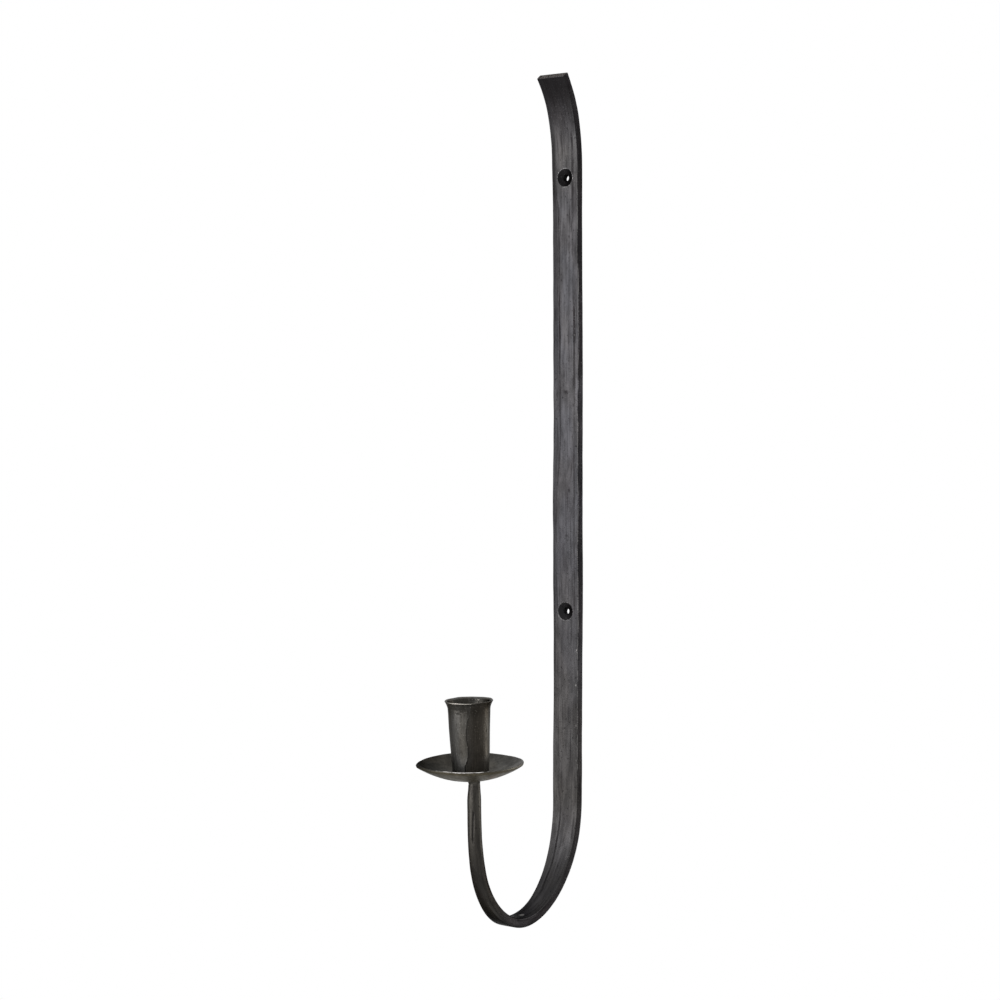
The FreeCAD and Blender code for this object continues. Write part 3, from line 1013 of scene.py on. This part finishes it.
def cup_point(level, inset, turn):
    """Point, flow and marks at one place of the rolled sheet, with turns counted from its seam."""
    angle = seam_angle + at(seam_path, level) / cup_neck_radius + 2 * math.pi * turn
    outside = 1 - inset / cup_sheet
    lap = (1 - turn) / lap_share
    near_lip = eased((level - cup_neck_level + lip_run) / (lip_height + lip_run))
    rise, growth = edge_bend(angle, lip_wobbles, lip_bends)
    depth, pitted, nicked = cup_mark(angle, level)
    round_wall = math.cos(angle) * cup_blow_waves + cup_blow_skew * math.sin(angle)
    uneven = blows(33, round_wall, level / cup_blow_height + math.sin(angle) * cup_blow_waves)
    radius = cup_outer_radius(level) - inset + growth * (wall_growth + (1 - wall_growth) * near_lip)
    radius += wall_swell(angle, level) - cup_blow_depth * uneven - depth * outside
    if lap < 1:
        edge_height = seam_edge_height if turn == 1.0 else 1.0
        radius += outside * (lap_height * (1 - lap) ** 2) * edge_height
    seated = level == cup_foot_level
    height = sphere_level(radius, foot_radius) if seated else level + rise * near_lip
    flow = (angle * cup_neck_radius, height, cup_pattern_depth * inset)
    rubbed_and_highlight = max(cup_rub_and_highlight(angle, lap, level, outside), nicked * outside)
    black = max(cup_black(angle, turn, level, outside), pitted * outside)
    warmth = outside * swell(turn, *seam_warmth)
    return cup_frame @ polar(radius, angle, height), flow, rubbed_and_highlight, black, 0.0, warmth


def make_candle_cup():
    turns = even_turns(cup_columns - len(seam_edge_steps))
    turns += [1 - step * lap_share for step in seam_edge_steps]
    return ring_object("rolled_cup", cup_profile(), turns, cup_point, sharp_angle=50)


def make_cup_floor():
    edge = cup_foot_radius - cup_sheet - floor_edge_gap
    hole_middle = (cup_frame.inverted() @ rivet_frame @ Vector((0, 0, pan_sheet))).to_2d()
    shares = [step / (floor_rings - 1) for step in range(floor_rings)]
    profile = [(share, floor_top_radius) for share in shares]
    profile += [(share, foot_radius) for share in reversed(shares)]

    def point(share, radius, turn):
        outward = unit(2 * math.pi * turn)
        spot = (hole_middle + tenon_hole_radius * outward).lerp(edge * outward, share)
        lift = floor_unevenness * wobble(41, spot.x / floor_wave, spot.y / floor_wave)
        place = cup_frame @ Vector((spot.x, spot.y, sphere_level(spot.length, radius) + lift))
        return place, tuple(place)

    return ring_object("round_floor", profile, even_turns(72), point, sharp_angle=35)


def make_rivet_washer():
    under_edge = sphere_level(washer_radius, washer_under_radius)
    profile = (
        (tenon_hole_radius, sphere_level(tenon_hole_radius, washer_under_radius)),
        (washer_radius - washer_under_chamfer, under_edge),
        (washer_radius, under_edge + washer_under_chamfer),
        (washer_radius, washer_top_level - washer_chamfer),
        (washer_radius - washer_chamfer, washer_top_level),
        (rivet_head_radius, washer_top_level),
        (tenon_hole_radius, washer_top_level),
    )

    def point(distance, level, turn):
        angle = 2 * math.pi * turn
        uneven = 1 + rivet_unevenness * ring_wobble(42, angle, 2)
        place = rivet_frame @ polar(distance * uneven, angle, level)
        return place, tuple(place)

    return ring_object("peened_washer", profile, even_turns(64), point, sharp_angle=35)


class Nodes:
    """Short names for building the nodes of one material or world."""

    def __init__(self, owner, shader="Principled BSDF"):
        owner.use_nodes = True
        self.owner = owner
        self.tree = owner.node_tree
        self.shader = self.tree.nodes[shader]

    def set(self, socket, value):
        """Links an output to a socket, or writes a constant on it."""
        if isinstance(value, bpy.types.NodeSocket):
            self.tree.links.new(value, socket)
        elif isinstance(value, tuple) and len(socket.default_value) == 4:
            socket.default_value = (*value, 1.0)
        else:
            socket.default_value = value

    def give(self, name, value):
        """Sets one input of the owner's shader."""
        self.set(self.shader.inputs[name], value)

    def add(self, kind, *inputs, **settings):
        """New node with these settings, and with links or constants on its first inputs."""
        node = self.tree.nodes.new(kind)
        for key, value in settings.items():
            setattr(node, key, value)
        for socket, value in zip(node.inputs, inputs):
            self.set(socket, value)
        return node

    def noise(self, vector, stretch, detail):
        scaled = self.add("ShaderNodeVectorMath", vector, stretch, operation="MULTIPLY")
        node = self.add("ShaderNodeTexNoise", scaled.outputs[0])
        self.set(node.inputs["Scale"], 1.0)
        self.set(node.inputs["Detail"], detail)
        return node.outputs["Fac"]

    def ramp(self, value, *limits):
        """Smooth step between two values, from 0 to 1 or between two more that are given."""
        node = self.add("ShaderNodeMapRange", value, *limits, interpolation_type="SMOOTHSTEP")
        return node.outputs["Result"]

    def math(self, operation, first, second):
        return self.add("ShaderNodeMath", first, second, operation=operation).outputs[0]

    def times(self, first, second):
        return self.math("MULTIPLY", first, second)

    def plus(self, first, second, weight=1.0):
        """The first value plus the second one times its weight."""
        return self.math("ADD", first, self.times(second, weight))

    def mix(self, share, first, second, blend_type="MIX"):
        node = self.add("ShaderNodeMix", share, data_type="RGBA", blend_type=blend_type)
        self.set(node.inputs[6], first)
        self.set(node.inputs[7], second)
        return node.outputs[2]

    def seen_rays(self):
        """1 for rays of the camera and of reflections, 0 for those that carry light."""
        rays = self.add("ShaderNodeLightPath").outputs
        bounced = self.math("MAXIMUM", rays["Is Glossy Ray"], rays["Is Transmission Ray"])
        return self.math("MAXIMUM", rays["Is Camera Ray"], bounced)


# Iron: colour of its rust, sizes of its patterns, and where they begin and are full
rust_colour = (0.095, 0.058, 0.034)
grain_scale = (1.5, 1.5, 1.5)
pit_scale = (0.8, 0.5, 0.8)
tint_scale = 0.3
streak_scale = 1.5
streak_range = (0.59, 0.67)
pit_range = (0.64, 0.72)
mottle_range = (0.41, 0.59)
tint_range = (0.40, 0.60)
rust_range = (0.35, 0.55)
dark_marks_and_shade_range = (0.72, 0.62)
bare_and_highlight_range = (0.75, 1.05)
gloss_range = (0.3, 0.7, 0.06, -0.06)
relief_depth = 0.12
dark_marks_and_shade_dulling = 0.85


def make_iron(name, dark, light, warm, cool, toned, worn_and_highlight, dark_marks_and_shade, rough, edge, patch, line, streak):
    """Blackened, waxed iron: scale patches, drawn lines, streaks, pits, tints, rubbed edges and rust, with
    painted shade in its black mark and painted highlights in its rubbed mark.
    """
    nodes = Nodes(bpy.data.materials.new(name))
    flow = nodes.add("ShaderNodeAttribute", attribute_name="flow").outputs["Vector"]
    marks = nodes.add("ShaderNodeAttribute", attribute_name="marks").outputs
    rubbed_and_highlight, black, rust = nodes.add("ShaderNodeSeparateXYZ", marks["Vector"]).outputs
    warmth = marks["Alpha"]
    patches = nodes.noise(flow, patch, 3.0)
    lines = nodes.noise(flow, line, 2.0)
    tint = nodes.noise(flow, tuple(tint_scale * size for size in patch), 2.0)
    grain = nodes.noise(flow, grain_scale, 3.0)
    streaks = nodes.ramp(nodes.noise(flow, tuple(streak_scale * size for size in line), 3.0), *streak_range)
    pits = nodes.ramp(nodes.noise(flow, pit_scale, 2.0), *pit_range)

    mottle = nodes.plus(nodes.plus(nodes.times(patches, 0.3), lines, 0.4), grain, 0.3)
    colour = nodes.mix(nodes.ramp(mottle, *mottle_range), dark, light)
    hue = nodes.mix(warmth, nodes.mix(nodes.ramp(tint, *tint_range), warm, cool), toned)
    colour = nodes.mix(1.0, colour, hue, "MULTIPLY")
    colour = nodes.mix(nodes.times(pits, 0.55), colour, dark_marks_and_shade)
    colour = nodes.mix(nodes.times(streaks, streak), colour, dark_marks_and_shade)
    colour = nodes.mix(nodes.times(rust, nodes.ramp(grain, *rust_range)), colour, rust_colour)
    # The black mark darkens towards the dark colour: scale, scratches and pits, and painted shade
    colour = nodes.mix(nodes.times(black, nodes.ramp(grain, *dark_marks_and_shade_range)), colour, dark_marks_and_shade)
    # The rubbed mark brightens towards the worn colour: wear, and painted highlights
    bare_and_highlight = nodes.ramp(nodes.plus(rubbed_and_highlight, grain, 0.8), *bare_and_highlight_range)
    nodes.give("Base Color", nodes.mix(bare_and_highlight, colour, worn_and_highlight))
    gloss = nodes.plus(nodes.plus(rough, nodes.ramp(patches, *gloss_range)), pits, 0.15)
    nodes.give("Roughness", gloss)
    nodes.give("Metallic", 1.0)
    nodes.give("Specular Tint", nodes.plus(edge, black, -dark_marks_and_shade_dulling * edge))

    bumped = nodes.add("ShaderNodeBump")
    relief = nodes.plus(nodes.plus(nodes.times(lines, 0.3), grain, 0.4), pits, -0.6)
    nodes.set(bumped.inputs["Strength"], 0.5)
    nodes.set(bumped.inputs["Distance"], relief_depth * MM)
    nodes.set(bumped.inputs["Height"], relief)
    nodes.give("Normal", bumped.outputs["Normal"])
    return nodes.owner


def make_materials():
    bar = make_iron(
        "bar_iron", dark=(0.0345, 0.0345, 0.0345), light=(0.0515, 0.0515, 0.0515),
        warm=(0.96, 0.925, 0.965), cool=(0.93, 0.92, 1.0), toned=(1.0, 0.93, 0.82),
        worn_and_highlight=(0.19, 0.185, 0.18), dark_marks_and_shade=(0.0100, 0.0091, 0.0096), rough=0.40, edge=0.35,
        patch=(0.22, 0.07, 0.22), line=(0.75, 0.025, 0.75), streak=0.6,
    )
    pan = make_iron(
        "pan_iron", dark=(0.046, 0.045, 0.042), light=(0.074, 0.072, 0.067), warm=(1.0, 0.95, 0.87),
        cool=(0.96, 0.95, 0.93), toned=(1.0, 0.88, 0.62), worn_and_highlight=(0.70, 0.68, 0.66),
        dark_marks_and_shade=(0.0104, 0.0096, 0.0085), rough=0.46, edge=0.8,
        patch=(0.16, 0.16, 0.05), line=(0.5, 0.5, 0.1), streak=0.0,
    )
    cup = make_iron(
        "cup_iron", dark=(0.091, 0.089, 0.085), light=(0.137, 0.135, 0.130), warm=(1.0, 0.96, 0.90),
        cool=(0.95, 0.95, 0.95), toned=(1.0, 0.90, 0.79), worn_and_highlight=(0.46, 0.43, 0.39),
        dark_marks_and_shade=(0.0108, 0.0096, 0.0078), rough=0.37, edge=0.6,
        patch=(0.30, 0.08, 0.05), line=(1.2, 0.06, 0.1), streak=0.15,
    )
    return bar, pan, cup


# Studio, in metres: a softbox in front to the left, a strip behind to the right, white surroundings and a
# pale floor
floor_depth = 0.9
floor_corners = ((-4, -5), (4, -5), (4, 0), (-4, 0))
floor_colours = ((0.80, 0.80, 0.79), (0.84, 0.84, 0.83))
floor_clouds = (1.5, 1.5, 1.5)
floor_glow = 0.7
room_light = 0.3
lamp_distance = 1.2


def add_lamp(name, azimuth, height, width, tall, radiance):
    """Rectangular lamp that faces the holder, at an azimuth from the front towards +X."""
    light = bpy.data.lights.new(name, "AREA")
    light.shape = "RECTANGLE"
    light.size = width
    light.size_y = tall
    light.energy = radiance * math.pi * width * tall
    lamp = add_object(name, light)
    away = unit(math.radians(azimuth - 90)) * lamp_distance
    lamp.location = (away.x, away.y, height)
    lamp.rotation_euler = Vector((-away.x, -away.y, 0)).to_track_quat("-Z", "Y").to_euler()
    lamp.visible_camera = False


def add_world():
    """White surroundings for the camera and for reflections, and a softer level for the light they give."""
    nodes = Nodes(bpy.data.worlds.new("studio"), "Background")
    level = nodes.add("ShaderNodeMapRange", nodes.seen_rays(), 0.0, 1.0, room_light, 1.0)
    nodes.give("Color", (1.0, 1.0, 1.0))
    nodes.give("Strength", level.outputs["Result"])
    bpy.context.scene.world = nodes.owner


def add_floor():
    """White floor under the holder, from the room up to the line of the wall, with its shadow on it."""
    mesh = bpy.data.meshes.new("floor")
    mesh.from_pydata([(x, y, -floor_depth) for x, y in floor_corners], [], [(0, 1, 2, 3)])
    nodes = Nodes(bpy.data.materials.new("floor_paint"))
    place = nodes.add("ShaderNodeTexCoord").outputs["Object"]
    cloud = nodes.ramp(nodes.noise(place, floor_clouds, 3.0), 0.3, 0.7)
    nodes.give("Base Color", nodes.mix(cloud, *floor_colours))
    nodes.give("Roughness", 0.7)
    nodes.give("Emission Color", (1.0, 1.0, 1.0))
    nodes.give("Emission Strength", nodes.times(nodes.seen_rays(), floor_glow))
    mesh.materials.append(nodes.owner)
    floor = add_object("floor", mesh)


# Camera: where the photograph was taken from in metres, and which way it looked
camera_place = (0.73622, -1.09351, 0.004547)
camera_yaw = math.radians(35.935)
camera_pitch = math.radians(3.166)
camera_roll = math.radians(-0.158)
camera_focal_length = 72.26
camera_sensor = 36.0


def add_camera():
    lens = bpy.data.cameras.new("camera")
    lens.sensor_width = camera_sensor
    lens.lens = camera_focal_length
    lens.clip_start = 0.05
    yaw = Matrix.Rotation(camera_yaw, 4, "Z")
    pitch = Matrix.Rotation(math.pi / 2 - camera_pitch, 4, "X")
    roll = Matrix.Rotation(camera_roll, 4, "Z")
    camera = add_object("camera", lens)
    camera.matrix_world = Matrix.Translation(camera_place) @ yaw @ pitch @ roll
    bpy.context.scene.camera = camera


bar_iron, pan_iron, cup_iron = make_materials()
finish_piece(make_forged_bar(), "forged_bar", bar_iron)
finish_piece(make_drip_pan(), "drip_pan", pan_iron)
finish_piece(make_candle_cup(), "candle_cup", cup_iron)
finish_piece(make_cup_floor(), "cup_floor", cup_iron)
finish_piece(make_rivet_washer(), "rivet_washer", cup_iron)
add_lamp("softbox", azimuth=-22, height=0.0, width=1.0, tall=1.1, radiance=4.0)
add_lamp("strip", azimuth=143, height=-0.1, width=0.5, tall=1.0, radiance=5.8)
add_world()
add_floor()
add_camera()
bpy.context.scene.view_settings.view_transform = "Standard"
